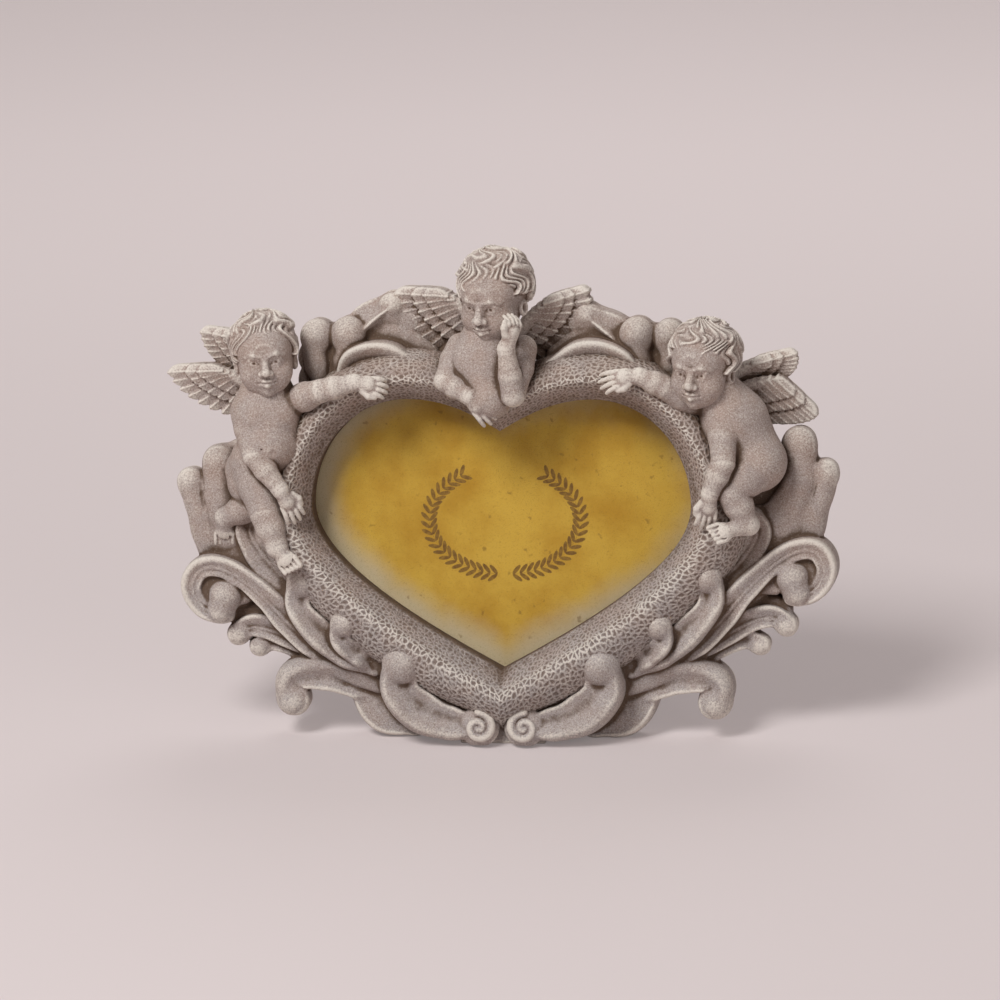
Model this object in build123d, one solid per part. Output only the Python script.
from build123d import *
import os
from math import asin, cos, pi, radians, sin, sqrt, tan

# A heart-shaped table photo frame of cast resin: a rounded rim round a heart window, carved scrolls,
# crest leaves and three cherubs in high relief, a glazed print held by turn buttons, and an easel leg.
# Every piece is drawn with the frame lying on its back: x to the right, y up the picture, z towards
# the viewer, and z = 0 on the flat back of the casting. STAND then leans the whole frame back until
# its foot is flat on the floor. Sizes are in millimetres and degrees.

# Heart window
HALF_WIDTH = 57.5
HEART_HEIGHT = 82.2
TIP_Y = 21.6
LOBE_X = 28.0
SIDE_DROP = 32.1
NOTCH_DEPTH = 9.6
TIP_SPREAD = 1.15

# Rim round the window
RIM_WIDTH = 15.0
RIM_HEIGHT = 22.0
RIM_SHOULDER = 8.0
CREST_INSET = 6.0
WINDOW_EDGE = 14.5
RIM_TIERS = 5

# Glazing, print and backing board in the pocket behind the window
POCKET_LEDGE = 4.0
POCKET_FIT = 0.4
GLASS = 2.0
CARD = 0.4
BOARD = 3.0
STACK_GAP = 0.2

# Stand: how far the frame leans, how wide the leg opens, and the flat foot under the tip
LEAN = 12.0
LEG_OPEN = 24.0
FOOT_DEPTH = 12.0
FOOT_WIDTH = 26.0
FOOT_RISE = 9.0

# Easel leg and its hinge
HINGE_Y = 80.0
PIN_RADIUS = 0.8
PIN_CAP = 0.6
PIN_FIT = 0.04
PIN_CAP_SHARE = 0.85
KNUCKLE_RADIUS = 1.5
KNUCKLE_GAP = 0.3
KNUCKLE_STAND_OFF = 0.4
LEAF = 0.8
LEAF_WIDTH = 22.0
LEAF_LENGTH = 12.0
LEAF_BORE_SHARE = 0.68
MIDDLE_KNUCKLE = 8.0
STOP_REACH = 5.0
STOP_WIDTH = 7.0
STOP_THICKNESS = 0.75
STOP_GAP = 0.05
LEG = 2.5
LEG_TOP_WIDTH = 26.0
LEG_FOOT_WIDTH = 44.0
LEG_TOP_GAP = 2.6
RIVET_RADIUS = 1.25
RIVET_HEAD = 2.4
RIVET_RISE = 0.7
RIVET_SPACING = 14.0
RIVET_FIT = 0.05
DOME_MID = (0.7, 0.6)

# Turn buttons and their screws
BUTTON_LENGTH = 18.0
BUTTON_WIDTH = 8.0
BUTTON = 1.0
BUTTON_GAP = 0.05
BUTTON_FLANK_SHARE = 0.5
SCREW_RADIUS = 1.3
SCREW_LENGTH = 7.0
SCREW_HEAD = 3.0
SCREW_RISE = 2.0
SCREW_FIT = 0.05
PAN_MID = (0.7, 0.85)
PAN_EDGE = 0.4
BUTTON_FIT = 0.2

# Carved scrolls and leaves: the band of ground beside the rim, and where an arm's wall turns to crown
FLANGE_WIDTH = 8.6
FLANGE_HEIGHT = 6.0
GROUND_HEIGHT = 6.6
ARM_SHOULDER = 0.45
ARM_STEP = 4.0
KNOB_SWELL = 1.07
LEFT_CREST_SLIDE = 5.5

# Cherubs: sizes that all three share
SHOULDER_RADIUS = 4.4
ELBOW_RADIUS = 3.7
WRIST_RADIUS = 2.7
PALM_RADIUS = 3.0
FINGER_RADIUS = 1.6
THIGH_RADIUS = 7.2
KNEE_RADIUS = 5.0
ANKLE_RADIUS = 3.2
TOE_RADIUS = 2.2
NECK_RADIUS = 5.0
CRANIUM_SHARE = 0.93
JAW_SHARE = 0.62
NOSE_SHARE = 0.16
BED_SHARE = 0.8
JOINT_SHARE = 0.93
FEATHER_RADIUS = 2.1
QUILL_SHARE = 0.8
COVERT_SPREAD = (1.1, 1.3)
FEATHER_STEP = 0.35
PRIMARY_HEIGHT = 5.0
COVERT_HEIGHT = 7.0
COVERT_SHARE = 0.6

# Heights and depths that follow from the sizes above
LOBE_Y = TIP_Y + HEART_HEIGHT
SIDE_Y = LOBE_Y - SIDE_DROP
NOTCH_Y = LOBE_Y - NOTCH_DEPTH
FOOT_MID = FOOT_DEPTH / 2
POCKET_DEPTH = GLASS + CARD + BOARD + STACK_GAP
BOARD_BACK = STACK_GAP
BOARD_FRONT = BOARD_BACK + BOARD
CARD_FRONT = BOARD_FRONT + CARD
INSERT_GROW = POCKET_LEDGE - POCKET_FIT
LEAF_BACK = BOARD_BACK - LEAF
PIN_Z = BOARD_BACK - KNUCKLE_STAND_OFF - KNUCKLE_RADIUS
LEG_FRONT = PIN_Z - KNUCKLE_STAND_OFF
LEG_BACK = LEG_FRONT - LEG
BUTTON_GROW = (POCKET_LEDGE + RIM_WIDTH) / 2
BUTTON_BACK = -BUTTON_GAP - BUTTON
SCREW_SEAT = BUTTON_BACK - BUTTON_GAP

STAND = Plane(
    origin=Vector(0, cos(radians(LEAN)), -sin(radians(LEAN))) * FOOT_MID,
    x_dir=(1, 0, 0),
    z_dir=(0, -cos(radians(LEAN)), sin(radians(LEAN))),
)
PIN_LINE = Axis((0, HINGE_Y, PIN_Z), (1, 0, 0))

# Control handles of the heart's curves, as shares of the spans they bend
ROUND = 0.5523
NOTCH_HANDLE = (0.25, 0.45)
LOBE_HANDLE = 0.43
FLANK_HANDLE = 0.353
TIP_HANDLE = (0.417, 0.257)


def heart_curves(grow):
    """Right half of the heart from notch to tip, grown outwards, as three Bezier curves."""
    notch = Vector(0, NOTCH_Y + grow)
    lobe = Vector(LOBE_X, LOBE_Y + grow)
    side = Vector(HALF_WIDTH + grow, SIDE_Y)
    tip = Vector(0, TIP_Y - TIP_SPREAD * grow)
    rise, out = lobe - notch, side - lobe
    fall = side - tip
    return [
        Bezier(
            notch,
            notch + Vector(NOTCH_HANDLE[0] * rise.X, NOTCH_HANDLE[1] * rise.Y),
            lobe - Vector(LOBE_HANDLE * rise.X, 0),
            lobe,
        ),
        Bezier(
            lobe,
            lobe + Vector(ROUND * out.X, 0),
            side - Vector(0, ROUND * out.Y),
            side,
        ),
        Bezier(
            side,
            side - Vector(0, FLANK_HANDLE * fall.Y),
            tip + Vector(TIP_HANDLE[0] * fall.X, TIP_HANDLE[1] * fall.Y),
            tip,
        ),
    ]


def heart(grow, height=0.0):
    """Heart outline, grown outwards from the window, as a face at a height."""
    right = heart_curves(grow)
    left = [edge for curve in right for edge in mirror(curve, Plane.YZ).edges()]
    return Pos(0, 0, height) * Face(Wire([*right, *reversed(left)]))


def prism(outline, low, high):
    """An outline drawn at z = 0, as a solid between two heights."""
    return extrude(Pos(0, 0, low) * outline, high - low, dir=(0, 0, 1))


def rod(x, y, radius, low, high):
    """A round post along z between two heights."""
    return prism(Pos(x, y) * Circle(radius), low, high)


def bar(radius, start, end):
    """A round bar on the hinge line between two places along x."""
    return extrude(Plane((start, HINGE_Y, PIN_Z), z_dir=(1, 0, 0)) * Circle(radius), end - start)


def above_floor():
    """The space in front of the frame's back and above the floor that it leans over."""
    reach = 4 * HEART_HEIGHT
    slope = tan(radians(LEAN))
    corners = [
        (FOOT_MID * slope, 0),
        (reach, 0),
        (reach, reach),
        ((FOOT_MID - reach) * slope, reach),
    ]
    side_view = Plane(origin=(-reach, 0, 0), x_dir=(0, 1, 0), z_dir=(1, 0, 0))
    return extrude(side_view * make_face(Polyline(*corners, close=True)), 2 * reach)


ABOVE_FLOOR = above_floor()


def taper(start, end, start_radius, end_radius):
    """Outline round two discs: two arcs and their common tangents."""
    start, end = (Vector(*tuple(point)[:2]) for point in (start, end))
    along = (end - start).normalized()
    across = Vector(-along.Y, along.X)
    lean = (start_radius - end_radius) / (end - start).length
    touch = sqrt(1 - lean**2)

    def edge_point(centre, radius, side):
        return centre + along * (radius * lean) + across * (side * radius * touch)

    corners = [
        edge_point(start, start_radius, 1),
        edge_point(end, end_radius, 1),
        edge_point(end, end_radius, -1),
        edge_point(start, start_radius, -1),
    ]
    return Face(
        Wire(
            [
                Line(corners[0], corners[1]),
                ThreePointArc(corners[1], end + along * end_radius, corners[2]),
                Line(corners[2], corners[3]),
                ThreePointArc(corners[3], start - along * start_radius, corners[0]),
            ]
        )
    )


def limb(start, end, start_radius, end_radius):
    """A round cone from one ball to another, such as a forearm."""
    start, end = Vector(*start), Vector(*end)
    length = (end - start).length
    turn = asin((start_radius - end_radius) / length)

    def on_ball(height, radius, angle):
        return (radius * cos(angle), height + radius * sin(angle))

    profile = make_face(
        [
            ThreePointArc(
                (0, -start_radius),
                on_ball(0, start_radius, (turn - pi / 2) / 2),
                on_ball(0, start_radius, turn),
            ),
            Line(on_ball(0, start_radius, turn), on_ball(length, end_radius, turn)),
            ThreePointArc(
                on_ball(length, end_radius, turn),
                on_ball(length, end_radius, (turn + pi / 2) / 2),
                (0, length + end_radius),
            ),
            Line((0, length + end_radius), (0, -start_radius)),
        ]
    )
    return Plane(start, z_dir=end - start) * revolve(Plane.XZ * profile, Axis.Z)


def fused(pieces):
    """Several overlapping solids as one, joined one after another."""
    joined = pieces[0]
    for piece in pieces[1:]:
        joined = joined.fuse(piece)
    return joined


def whole(shape):
    """The largest solid of a cut, without the crumbs that a cut leaves."""
    return max(shape.solids(), key=lambda solid: solid.volume)


# Rim


def rim_blank():
    """The rim before its window is cut: straight walls, then a bead that rounds up to the crest."""
    drop = RIM_WIDTH - CREST_INSET
    rise = RIM_HEIGHT - RIM_SHOULDER
    sections = [heart(RIM_WIDTH)]
    for tier in range(RIM_TIERS + 1):
        angle = pi / 2 * tier / RIM_TIERS
        sections.append(heart(CREST_INSET + drop * cos(angle), RIM_SHOULDER + rise * sin(angle)))
    bead = loft(sections, ruled=True)
    foot_low = -FOOT_DEPTH * tan(radians(LEAN))
    foot_top = FOOT_RISE
    foot_face = Pos(0, (foot_low + foot_top) / 2) * Rectangle(FOOT_WIDTH, foot_top - foot_low)
    foot = prism(foot_face, 0, FOOT_DEPTH) & ABOVE_FLOOR
    return fused([bead, foot])


def heart_rim(blank):
    """The rim with its splayed window, the pocket behind it and the screw pilots."""
    splay = CREST_INSET / (RIM_HEIGHT - WINDOW_EDGE)
    over = RIM_HEIGHT + 1.0
    funnel = loft([heart(0, WINDOW_EDGE), heart(splay * (over - WINDOW_EDGE), over)], ruled=True)
    window = prism(heart(0), -1, WINDOW_EDGE)
    pocket = prism(heart(POCKET_LEDGE), -1, POCKET_DEPTH)
    rim = blank - funnel - window - pocket
    pilot = SCREW_SEAT + SCREW_LENGTH + SCREW_FIT
    for place in button_places():
        rim -= rod(place.X, place.Y, SCREW_RADIUS + SCREW_FIT, -1, pilot)
    return rim


# Carved scrolls


def arm(points, half_widths, crowns):
    """A carved arm with a flat back: arched sections along a spline, rounded off at its tip."""
    spine = Spline(*points)
    steps = round(spine.length / ARM_STEP)
    sections = []
    for step in range(steps + 1):
        place = step / steps
        forward = spine.tangent_at(place)
        plane = Plane(spine.position_at(place), x_dir=(-forward.Y, forward.X, 0), z_dir=forward)
        sections.append(plane * arch(eased(half_widths, place), eased(crowns, place)))
    return [loft(sections), knob(points[-1], half_widths[-1] * KNOB_SWELL, crowns[-1] * KNOB_SWELL)]


def eased(values, place):
    """A value between evenly spaced ones, easing in and out of each."""
    position = place * (len(values) - 1)
    index = min(int(position), len(values) - 2)
    share = position - index
    share = share * share * (3 - 2 * share)
    return values[index] + share * (values[index + 1] - values[index])


def arch(half, crown):
    """Section of an arm: straight walls up from the back, then a rounded crown."""
    wall = ARM_SHOULDER * crown
    swell = wall + ROUND * (crown - wall)
    return Face(
        Wire(
            [
                Line((-half, 0), (half, 0)),
                Line((half, 0), (half, wall)),
                Bezier((half, wall), (half, swell), (ROUND * half, crown), (0, crown)),
                Bezier((0, crown), (-ROUND * half, crown), (-half, swell), (-half, wall)),
                Line((-half, wall), (-half, 0)),
            ]
        )
    )


def knob(place, radius, crown):
    """A round boss with a domed top."""
    wall = ARM_SHOULDER * crown
    swell = wall + ROUND * (crown - wall)
    profile = make_face(
        [
            Line((0, 0), (radius, 0)),
            Line((radius, 0), (radius, wall)),
            Bezier((radius, wall), (radius, swell), (ROUND * radius, crown), (0, crown)),
            Line((0, crown), (0, 0)),
        ]
    )
    return Pos(*place[:2]) * revolve(Plane.XZ * profile, Axis.Z)


def beside(x, y):
    """A place measured from the heart's widest point on the right."""
    return (HALF_WIDTH + x, SIDE_Y + y)


def under(x, y):
    """A place measured from the heart's tip."""
    return (x, TIP_Y + y)


def over(x, y):
    """A place measured from the top of the right lobe."""
    return (LOBE_X + x, LOBE_Y + y)


def right_scrolls():
    """Scrolls and fronds that climb from the tip of the heart up its right flank."""
    volute = arm(
        [
            under(42, 0.5),
            under(53, 5.5),
            beside(10, -32),
            beside(18.5, -24),
            beside(28, -20.2),
            beside(34.6, -22.5),
            beside(36, -28),
            beside(31.5, -31.8),
            beside(26, -31.5),
        ],
        [2.6, 3.4, 4.4, 4.6, 4.3, 4.1, 3.9, 3.6, 3.2],
        [11, 13, 14.5, 15, 15, 14.5, 14, 13, 11.5],
    )
    pieces = [
        *arm(
            [under(28, -4), under(48, 7), beside(6, -28), beside(22, -17)],
            [8, 10, 11, 9],
            [GROUND_HEIGHT] * 4,
        ),
        *arm([under(50, 6), under(66, 16), under(79, 18.5)], [6, 6.5, 5], [7.4, 7.8, 7.4]),
        *volute,
        knob(beside(25.5, -28.4), 4.0, 15.5),
        *arm(
            [beside(20, -19), beside(25, -8), beside(28.5, 3), beside(28.5, 12.5)],
            [7, 7, 5.6, 4.2],
            [8, 10, 12, 11.5],
        ),
        *arm(
            [beside(29, -16), beside(33, -7), beside(35.5, 0), beside(36.3, 6.5)],
            [5, 4.4, 3.6, 3.3],
            [8.4, 9, 9.5, 10],
        ),
        *arm(
            [
                beside(0.5, -35),
                beside(7, -26.5),
                beside(13.5, -20),
                beside(18.8, -13),
                beside(20.3, -6.5),
                beside(17.5, -4),
            ],
            [2.4, 3.4, 3.8, 3.8, 3.6, 3.0],
            [11, 13.5, 13.5, 13, 12.5, 12],
        ),
        *arm(
            [under(40, 0), under(48.5, 4), under(57.5, 12), under(62.5, 20), under(62.2, 27)],
            [2.4, 3.4, 4.6, 4.8, 4.7],
            [12, 14, 16, 16.5, 16],
        ),
        *arm(
            [under(39, -0.5), under(44.5, 4.5), under(48.5, 9), under(49, 14.5)],
            [2.4, 4.0, 4.4, 4.2],
            [12, 14.5, 15.5, 15.2],
        ),
        *arm(
            [under(7, -17.2), under(16.5, -16), under(25, -13), under(31, -6), under(30.8, 2.6)],
            [3.2, 4.8, 6.4, 6.4, 6.0],
            [17, 17, 17.5, 18, 19],
        ),
        knob(under(7.2, -18.4), 5.2, 19),
        *arm(
            [under(37, -4), under(48, -0.4), under(57.5, 0.2), under(64.8, -4), under(64.2, -10.4)],
            [4, 4.6, 4.4, 3.9, 4.2],
            [9, 11, 12, 12, 11],
        ),
        *arm([under(33, -4), under(37, -10), under(37.5, -11.8)], [7, 8.6, 8.4], [7, 8, 6.8]),
        *arm(
            [under(50, 4), under(64, 10.2), under(72, 13.6), under(77.5, 13.4), under(80.3, 11)],
            [3, 3.8, 3.4, 3.1, 2.8],
            [8.2, 10.5, 10.5, 10, 9.5],
        ),
        *arm(
            [under(52, 3), under(63, 7), under(70, 8.8), under(73.8, 7)],
            [2.6, 3, 2.7, 2.4],
            [7.2, 8.5, 8.5, 8],
        ),
    ]
    flank = Pos(0, SIDE_Y - HEART_HEIGHT) * Rectangle(4 * HALF_WIDTH, 2 * HEART_HEIGHT)
    half = Pos(2 * HALF_WIDTH, 0) * Rectangle(4 * HALF_WIDTH, 4 * HEART_HEIGHT)
    flange = prism(heart(RIM_WIDTH + FLANGE_WIDTH) & flank & half, 0, FLANGE_HEIGHT)
    return fused([flange, *pieces])


def crest_leaves(slide):
    """Leaves on top of the right lobe: two round lobes, a frond and a leaf that curls on the rim."""
    pieces = [
        *arm(
            [over(22 + slide, 5), over(10 + slide, 13), over(-1 + slide, 16)],
            [7, 8, 6],
            [GROUND_HEIGHT] * 3,
        ),
        *arm(
            [over(17 + slide, 4), over(13.5 + slide, 14), over(12.5 + slide, 21.5)],
            [5, 5.2, 4.8],
            [9, 12, 12],
        ),
        *arm(
            [over(20 + slide, 2), over(22.5 + slide, 13), over(22.5 + slide, 21.5)],
            [5, 5.6, 4.6],
            [9, 11, 11],
        ),
        *arm(
            [over(16 + slide, 6), over(7 + slide, 17), over(1 + slide, 26)],
            [5, 6, 3],
            [8, 9, 7.5],
        ),
        *arm(
            [over(18 + slide, 4), over(9 + slide, 13.5), over(-1 + slide, 15.5), over(-10 + slide, 11)],
            [3, 4.2, 4.4, 3.4],
            [14, 16, 16, 15],
        ),
    ]
    return fused(pieces)


# Cherubs


def wing(root, tips, feathers, base):
    """Feathers fanned from a root: long ones behind, short coverts in front."""
    fan = ThreePointArc(*tips)
    root = Vector(*root)
    pieces = []
    for index in range(feathers):
        tip = fan.position_at(index / (feathers - 1))
        near = root + (tip - root) * (1 - COVERT_SHARE)
        height = base + PRIMARY_HEIGHT - index * FEATHER_STEP
        pieces.append(prism(taper(near, tip, FEATHER_RADIUS * QUILL_SHARE, FEATHER_RADIUS), 0, height))
        short = root + (tip - root) * COVERT_SHARE
        top = base + COVERT_HEIGHT - index * FEATHER_STEP
        root_radius, end_radius = (FEATHER_RADIUS * share for share in COVERT_SPREAD)
        pieces.append(prism(taper(root, short, root_radius, end_radius), 0, top))
    return pieces


def chain(points, radii):
    """Round cones from point to point, such as an upper arm, forearm, palm and fingers."""
    pieces = []
    for index in range(len(points) - 1):
        share = 1 if index == 0 else JOINT_SHARE
        pieces.append(limb(points[index], points[index + 1], radii[index] * share, radii[index + 1]))
    return pieces


def bed(points, radii):
    """Solid resin behind a figure, from the flat back up to the middle of each rounded form."""
    pieces = []
    for index in range(len(points) - 1):
        start, end = points[index], points[index + 1]
        outline = taper(start, end, radii[index] * BED_SHARE, radii[index + 1] * BED_SHARE)
        pieces.append(prism(outline, 0, min(start[2], end[2]) - index * FEATHER_STEP))
    return pieces


ARM_RADII = [SHOULDER_RADIUS, ELBOW_RADIUS, WRIST_RADIUS, PALM_RADIUS, FINGER_RADIUS]
LEG_RADII = [THIGH_RADIUS, KNEE_RADIUS, ANKLE_RADIUS, TOE_RADIUS]


def head(centre, radius, half_length, crown, gaze):
    """A head: cranium narrowing to the chin, a cap of hair and a small nose."""
    middle = Vector(*centre)
    up, look = Vector(*crown).normalized(), Vector(*gaze).normalized()
    cranium, jaw = CRANIUM_SHARE * radius, JAW_SHARE * radius
    top = middle + up * (half_length - cranium)
    chin = middle - up * (half_length - jaw) + look * (radius - jaw) / 2
    nape = middle - up * (half_length - cranium) - look * (radius - cranium)
    crown_point = middle + up * (half_length - radius) - look * (radius - cranium)
    nose = middle + look * cranium - up * (half_length - radius)
    return [
        limb(top, chin, cranium, jaw),
        limb(crown_point, nape, radius, cranium),
        Pos(*nose) * Sphere(NOSE_SHARE * radius),
    ]


def placed(origin, points):
    """Landmarks measured from an anchor on the heart, with z from the flat back."""
    return [(origin[0] + x, origin[1] + y, z) for x, y, z in points]


def left_cherub():
    """The cherub on the left, kneeling on the rim with one arm laid along it."""
    at = (-HALF_WIDTH, SIDE_Y)
    rim = RIM_HEIGHT
    spine = placed(
        at,
        [
            (-12.9, 45.9, rim - 2),
            (-12.9, 28, rim - 6),
            (-11.4, 19, rim - 5),
            (-15.5, 13.5, rim - 8),
        ],
    )
    crossing = placed(
        at,
        [
            (-19.5, 29.1, rim - 4),
            (-15.6, 15.9, rim + 3),
            (-7.8, 5.7, rim + 4),
            (-5.8, 2.1, rim + 3),
            (-3.8, -3, rim + 1.6),
        ],
    )
    reaching = placed(
        at,
        [
            (-4, 32, rim - 3),
            (4.1, 35.1, rim + 1.5),
            (14.6, 37.8, rim + 2.2),
            (18.8, 37.2, rim + 2.4),
            (23, 36, rim + 1.6),
        ],
    )
    kneeling = placed(
        at,
        [
            (-17, 12, rim - 7),
            (-13, -2.1, rim - 1),
            (-9.4, -12, rim),
            (-4.8, -17.6, rim + 1),
        ],
    )
    folded = placed(
        at,
        [
            (-20, 10, rim - 11),
            (-18, 0, rim - 9),
            (-27, -4.5, rim - 11),
            (-27.6, -11, rim - 12),
        ],
    )
    pieces = [
        *head(spine[0], 11.3, 12.4, (-0.1, 1, -0.1), (0.15, -0.1, 1)),
        *chain(spine, [NECK_RADIUS, 10.2, 8.6, 9.2]),
        *bed(spine, [10, 10.2, 8.6, 9.2]),
        *chain(crossing, ARM_RADII),
        *chain(reaching, ARM_RADII),
        *chain(kneeling, LEG_RADII),
        *chain(folded, LEG_RADII),
        *bed(folded, LEG_RADII),
        *wing((at[0] - 21, at[1] + 31), placed_flat(at, [(-42.5, 40.3), (-37.5, 31), (-25, 25.8)]), 6, 2.0),
        *wing((at[0] - 18, at[1] + 40), placed_flat(at, [(-34, 52), (-35, 46), (-31, 40)]), 4, 0.5),
    ]
    return fused(pieces)


def placed_flat(origin, points):
    """Places on the back plane measured from an anchor on the heart."""
    return [(origin[0] + x, origin[1] + y) for x, y in points]


def centre_cherub():
    """The cherub in the notch, leaning on the rim with a cheek on one hand."""
    at = (0, NOTCH_Y)
    rim = RIM_HEIGHT
    spine = placed(
        at,
        [
            (-0.6, 41.3, rim),
            (-4, 21, rim - 4),
            (-2.4, 11.3, rim),
        ],
    )
    resting = placed(
        at,
        [
            (-12.4, 23.5, rim - 5),
            (-17, 13.8, rim + 2),
            (-6.6, 7.8, rim + 5.5),
            (-3.3, 5, rim + 5),
            (0, 0.8, rim + 3),
        ],
    )
    propped = placed(
        at,
        [
            (9, 23.5, rim - 5),
            (5.2, 9.6, rim + 6),
            (3.2, 24.6, rim + 9),
            (5, 30.6, rim + 10),
            (6.6, 36, rim + 10),
        ],
    )
    pieces = [
        *head(spine[0], 11.4, 13.4, (0.05, 1, 0), (-0.4, -0.3, 1)),
        *chain(spine, [NECK_RADIUS, 10.2, 7.4]),
        *bed(spine, [9.5, 10.2, 7.4]),
        *chain(resting, ARM_RADII),
        *chain(propped, ARM_RADII),
        *wing((at[0] - 12, at[1] + 27.5), placed_flat(at, [(-30, 41.3), (-27, 31), (-17.5, 23.5)]), 6, 1.5),
        *wing((at[0] + 5.5, at[1] + 25.5), placed_flat(at, [(26, 41), (23.5, 31), (14, 23.2)]), 6, 1.5),
    ]
    return fused(pieces)


def right_cherub():
    """The cherub on the right, crouching on the rim and looking down along it."""
    at = (HALF_WIDTH, SIDE_Y)
    rim = RIM_HEIGHT
    spine = placed(
        at,
        [
            (4.2, 43.3, rim - 1),
            (13.4, 25.5, rim - 6),
            (16.7, 16.5, rim - 6.5),
            (19.5, 9.2, rim - 8),
        ],
    )
    bracing = placed(
        at,
        [
            (10.2, 27, rim),
            (9.1, 12.9, rim + 4.5),
            (4.5, 3.9, rim + 4),
            (3.7, 0, rim + 3),
            (2.3, -4.6, rim + 1.6),
        ],
    )
    reaching = placed(
        at,
        [
            (1, 32, rim - 4),
            (-7, 36.5, rim + 0.5),
            (-14.6, 39.9, rim + 1.8),
            (-19, 39.7, rim + 2.4),
            (-24.6, 37, rim + 1.6),
        ],
    )
    crouching = placed(
        at,
        [
            (20, 10.5, rim - 4),
            (10.8, 4.5, rim),
            (16.4, -5.5, rim - 4),
            (6.9, -6.8, rim + 0.5),
        ],
    )
    pieces = [
        *head(spine[0], 12, 12.9, (0.1, 1, -0.1), (-0.35, -0.2, 1)),
        *chain(spine, [NECK_RADIUS, 9.8, 8.6, 9.4]),
        *bed(spine, [10, 9.8, 8.6, 9.4]),
        *chain(bracing, ARM_RADII),
        *chain(reaching, ARM_RADII),
        *chain(crouching, LEG_RADII),
        *wing((at[0] + 16, at[1] + 32), placed_flat(at, [(29.5, 38), (36.5, 28.5), (22.5, 26)]), 6, 2.0),
        *wing((at[0] + 14, at[1] + 36), placed_flat(at, [(31, 44), (31, 41.5), (27, 39)]), 4, 0.5),
    ]
    return fused(pieces)


# Glazing, print and board


def insert(low, high):
    """A heart-shaped sheet that drops into the pocket."""
    return prism(heart(INSERT_GROW), low, high)


def rivet_places(centre_y):
    """A pair of rivets either side of the middle of a hinge leaf."""
    return [(side * RIVET_SPACING / 2, centre_y) for side in (-1, 1)]


BOARD_RIVETS = rivet_places(HINGE_Y + LEAF_BORE_SHARE * LEAF_LENGTH)
LEG_RIVETS = rivet_places(HINGE_Y - LEAF_BORE_SHARE * LEAF_LENGTH)
RIVET_END = BOARD_FRONT - LEAF


def backing_board():
    """The board behind the print, bored for the rivets of the hinge."""
    board = insert(BOARD_BACK, BOARD_FRONT)
    for x, y in BOARD_RIVETS:
        board -= rod(x, y, RIVET_RADIUS + RIVET_FIT, LEAF_BACK, RIVET_END + RIVET_FIT)
    return board


# Hinge and easel leg, drawn with the leg folded flat


def board_leaf():
    """The fixed leaf: a plate on the board with a knuckle at each end of the pin."""
    plate_face = Pos(0, HINGE_Y + LEAF_LENGTH / 2) * Rectangle(LEAF_WIDTH, LEAF_LENGTH)
    plate = prism(plate_face, LEAF_BACK, BOARD_BACK)
    slot_width = MIDDLE_KNUCKLE + 2 * KNUCKLE_GAP
    slot_height = KNUCKLE_RADIUS + KNUCKLE_GAP
    plate -= prism(Pos(0, HINGE_Y) * Rectangle(slot_width, 2 * slot_height), LEAF_BACK, BOARD_BACK)
    knuckles = []
    for side in (-1, 1):
        inner, outer = side * slot_width / 2, side * LEAF_WIDTH / 2
        knuckles.append(bar(KNUCKLE_RADIUS, min(inner, outer), max(inner, outer)))
    leaf = fused([plate, *knuckles])
    leaf -= bar(PIN_RADIUS + PIN_FIT, -LEAF_WIDTH, LEAF_WIDTH)
    for x, y in BOARD_RIVETS:
        leaf -= rod(x, y, RIVET_RADIUS + RIVET_FIT, LEAF_BACK, BOARD_BACK)
    return leaf


def leg_leaf():
    """The moving leaf: a plate on the leg, the middle knuckle and the tab that stops the leg open."""
    low = LEG_FRONT
    plate_top = HINGE_Y - KNUCKLE_RADIUS - KNUCKLE_GAP
    plate_low = HINGE_Y - LEAF_LENGTH
    plate = prism(
        Pos(0, (plate_top + plate_low) / 2) * Rectangle(LEAF_WIDTH, plate_top - plate_low), low, low + LEAF
    )
    neck = prism(
        Pos(0, (HINGE_Y + plate_low) / 2) * Rectangle(MIDDLE_KNUCKLE, HINGE_Y - plate_low), low, low + LEAF
    )
    knuckle = bar(KNUCKLE_RADIUS, -MIDDLE_KNUCKLE / 2, MIDDLE_KNUCKLE / 2)
    stop_top = LEAF_BACK - STOP_GAP
    stop_face = Pos(0, HINGE_Y + STOP_REACH / 2) * Rectangle(STOP_WIDTH, STOP_REACH)
    stop = opened(prism(stop_face, stop_top - STOP_THICKNESS, stop_top), -LEG_OPEN)
    leaf = fused([plate, neck, knuckle, stop])
    leaf -= bar(PIN_RADIUS + 2 * PIN_FIT, -LEAF_WIDTH, LEAF_WIDTH)
    for x, y in LEG_RIVETS:
        leaf -= rod(x, y, RIVET_RADIUS + RIVET_FIT, low, low + LEAF)
    return leaf


def opened(shape, angle=LEG_OPEN):
    """A piece of the leg swung about the hinge pin."""
    return shape.rotate(PIN_LINE, angle)


def hinge_pin():
    """The hinge pin, with a cap outside each end of the knuckles."""
    end = LEAF_WIDTH / 2 + PIN_FIT
    cap_radius = KNUCKLE_RADIUS * PIN_CAP_SHARE
    return fused(
        [
            bar(PIN_RADIUS, -end - PIN_CAP / 2, end + PIN_CAP / 2),
            bar(cap_radius, end, end + PIN_CAP),
            bar(cap_radius, -end - PIN_CAP, -end),
        ]
    )


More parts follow.
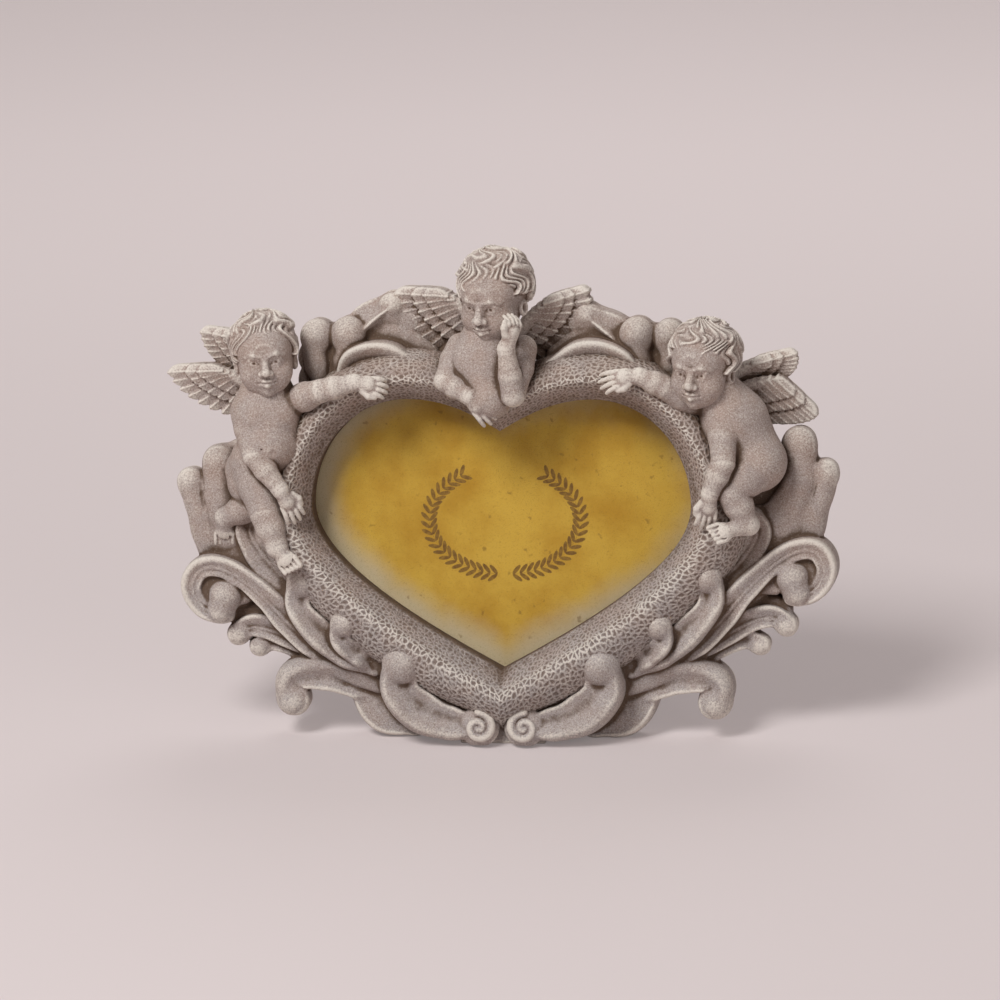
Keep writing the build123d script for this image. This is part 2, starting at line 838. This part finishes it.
def rivet(x, y, back, front):
    """A dome rivet with its head behind and its shank through to the front."""
    head_profile = make_face(
        [
            ThreePointArc(
                (0, back - RIVET_RISE),
                (DOME_MID[0] * RIVET_HEAD, back - DOME_MID[1] * RIVET_RISE),
                (RIVET_HEAD, back),
            ),
            Line((RIVET_HEAD, back), (0, back)),
            Line((0, back), (0, back - RIVET_RISE)),
        ]
    )
    dome = Pos(x, y) * revolve(Plane.XZ * head_profile, Axis.Z)
    return fused([dome, rod(x, y, RIVET_RADIUS, back - RIVET_RISE / 2, front)])


def easel_leg():
    """The hardboard leg, wider at its foot, cut so that its foot lies flat on the floor when open."""
    pin_height = HINGE_Y * cos(radians(LEAN)) - (FOOT_MID - PIN_Z) * sin(radians(LEAN))
    length = pin_height / cos(radians(LEG_OPEN - LEAN)) + 2 * LEG
    top, low = HINGE_Y - LEG_TOP_GAP, HINGE_Y - length
    outline = make_face(
        Polyline(
            (-LEG_TOP_WIDTH / 2, top),
            (LEG_TOP_WIDTH / 2, top),
            (LEG_FOOT_WIDTH / 2, low),
            (-LEG_FOOT_WIDTH / 2, low),
            close=True,
        )
    )
    leg = prism(outline, LEG_BACK, LEG_FRONT)
    for x, y in LEG_RIVETS:
        leg -= rod(x, y, RIVET_RADIUS + RIVET_FIT, LEG_BACK, LEG_FRONT)
    return leg


def on_floor(shape):
    """A standing piece without what would reach below the floor."""
    reach = 4 * HEART_HEIGHT
    return shape & (Pos(0, 0, reach / 2) * Box(reach, reach, reach))


# Turn buttons


def button_places():
    """Screw centres on the back of the rim: over each lobe and half way down each flank."""
    lobe, _, flank = heart_curves(BUTTON_GROW)
    places = [lobe.position_at(1), flank.position_at(BUTTON_FLANK_SHARE)]
    return [Vector(-p.X, p.Y) for p in places] + places


def turn_button(place, pointing):
    """A slotted steel plate on its screw, pointing over the edge of the board."""
    turn = Vector(1, 0).get_signed_angle(pointing, Vector(0, 0, 1))
    plate = Location((place.X, place.Y), turn) * SlotOverall(BUTTON_LENGTH, BUTTON_WIDTH)
    button = prism(plate, BUTTON_BACK, -BUTTON_GAP)
    return button - rod(place.X, place.Y, SCREW_RADIUS + BUTTON_FIT, BUTTON_BACK, 0)


def screw(place):
    """A pan-head screw through a turn button into the rim."""
    edge = SCREW_SEAT - PAN_EDGE * SCREW_RISE
    profile = make_face(
        [
            ThreePointArc(
                (0, SCREW_SEAT - SCREW_RISE),
                (PAN_MID[0] * SCREW_HEAD, SCREW_SEAT - PAN_MID[1] * SCREW_RISE),
                (SCREW_HEAD, edge),
            ),
            Line((SCREW_HEAD, edge), (SCREW_HEAD, SCREW_SEAT)),
            Line((SCREW_HEAD, SCREW_SEAT), (0, SCREW_SEAT)),
            Line((0, SCREW_SEAT), (0, SCREW_SEAT - SCREW_RISE)),
        ]
    )
    head_solid = Pos(place.X, place.Y) * revolve(Plane.XZ * profile, Axis.Z)
    shank = rod(place.X, place.Y, SCREW_RADIUS, SCREW_SEAT - SCREW_RISE / 2, SCREW_SEAT + SCREW_LENGTH)
    return fused([head_solid, shank])


def casting():
    """The resin pieces: the rim, and the carvings cut to sit against it and each other."""
    blank = rim_blank()
    right = whole((right_scrolls() & ABOVE_FLOOR) - blank)
    scrolls = {"right_scrollwork": right, "left_scrollwork": mirror(right, Plane.YZ)}
    crests = {
        "right_crest_leaves": whole(crest_leaves(0) - blank),
        "left_crest_leaves": whole(mirror(crest_leaves(LEFT_CREST_SLIDE), Plane.YZ) - blank),
    }
    carved = scrolls | crests
    figures = {
        "left_cherub": (left_cherub(), ["left_scrollwork", "left_crest_leaves"]),
        "centre_cherub": (centre_cherub(), ["left_crest_leaves", "right_crest_leaves"]),
        "right_cherub": (right_cherub(), ["right_scrollwork", "right_crest_leaves"]),
    }
    seated = {}
    for name, (figure, neighbours) in figures.items():
        cut = figure - blank
        for neighbour in neighbours:
            cut = cut - carved[neighbour]
        seated[name] = whole(cut)
    return {"heart_rim": heart_rim(blank)} | carved | seated


def glazing():
    """What the pocket holds behind the window."""
    return {
        "glass_pane": insert(CARD_FRONT, CARD_FRONT + GLASS),
        "insert_card": insert(BOARD_FRONT, CARD_FRONT),
        "backing_board": backing_board(),
    }


def easel():
    """The hinge and its leg, swung open."""
    leg_rivets = [rivet(x, y, LEG_BACK, LEG_FRONT + LEAF) for x, y in LEG_RIVETS]
    board_rivets = [rivet(x, y, LEAF_BACK, RIVET_END) for x, y in BOARD_RIVETS]
    return {
        "hinge_board_leaf": board_leaf(),
        "hinge_leg_leaf": opened(leg_leaf()),
        "hinge_pin": hinge_pin(),
        "board_rivets": Compound(board_rivets),
        "leg_rivets": opened(Compound(leg_rivets)),
        "easel_leg": opened(easel_leg()),
    }


def fastenings():
    """The turn buttons, pointing over the board, and their screws."""
    names = ["upper_left", "lower_left", "upper_right", "lower_right"]
    _, _, flank = heart_curves(BUTTON_GROW)
    inward = flank.tangent_at(BUTTON_FLANK_SHARE).rotate(Axis.Z, -90)
    pointing = [Vector(0, -1), Vector(-inward.X, inward.Y), Vector(0, -1), inward]
    places = button_places()
    pieces = {
        f"turn_button_{name}": turn_button(place, direction)
        for name, place, direction in zip(names, places, pointing)
    }
    return pieces | {"turn_button_screws": Compound([screw(place) for place in places])}


os.makedirs("parts", exist_ok=True)
pieces = casting() | glazing() | easel() | fastenings()
for name, piece in pieces.items():
    standing = STAND.location * piece
    if name == "easel_leg":
        standing = on_floor(standing)
    export_step(standing, f"parts/{name}.step")
